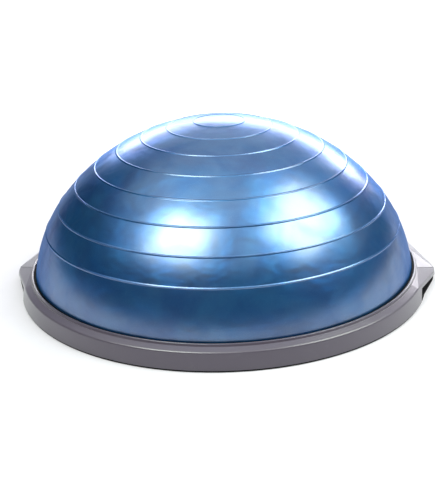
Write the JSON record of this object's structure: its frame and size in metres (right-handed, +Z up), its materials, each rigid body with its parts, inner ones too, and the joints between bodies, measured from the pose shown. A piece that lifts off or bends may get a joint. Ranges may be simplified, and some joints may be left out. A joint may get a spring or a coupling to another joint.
{
  "type": "balance dome trainer",
  "caption": "Inflated ribbed half-ball held in a low round ring with two side hand grips on a flat platform, with a pull-out air plug underneath.",
  "frame": {"origin": "centre of the bumper ring on the floor, under the top of the dome", "axes": "+Z up through the dome's top, the two hand grips on +X and -X, -Y towards the viewer"},
  "size_m": [0.6486, 0.6198, 0.252],
  "materials": {
    "dome_pvc": "pearl satin",
    "rim_plastic": "satin moulded",
    "black_rubber": "matte",
    "platform_plastic": "satin moulded",
    "screw_steel": "zinc",
    "plug_plastic": "satin"
  },
  "bodies": {
    "trainer": {"dome_shell": "dome_pvc", "bladder_floor": "dome_pvc", "rim_ring": "rim_plastic", "rim_gasket": "black_rubber", "base_platform": "platform_plastic", "deck_plate": "platform_plastic", "bumper_ring": "black_rubber", "grip_tray_right": "platform_plastic", "grip_tray_left": "platform_plastic", "grip_liner_right": "platform_plastic", "grip_liner_left": "platform_plastic", "rim_screws": "screw_steel", "valve_seat": "black_rubber"},
    "plug": {"valve_plug": "plug_plastic"}
  },
  "joints": [
    {"name": "plug_pull", "type": "slide", "parent": "trainer", "child": "plug", "axis": [0, 0, -1], "range_m": [0, 0.018]}
  ]
}
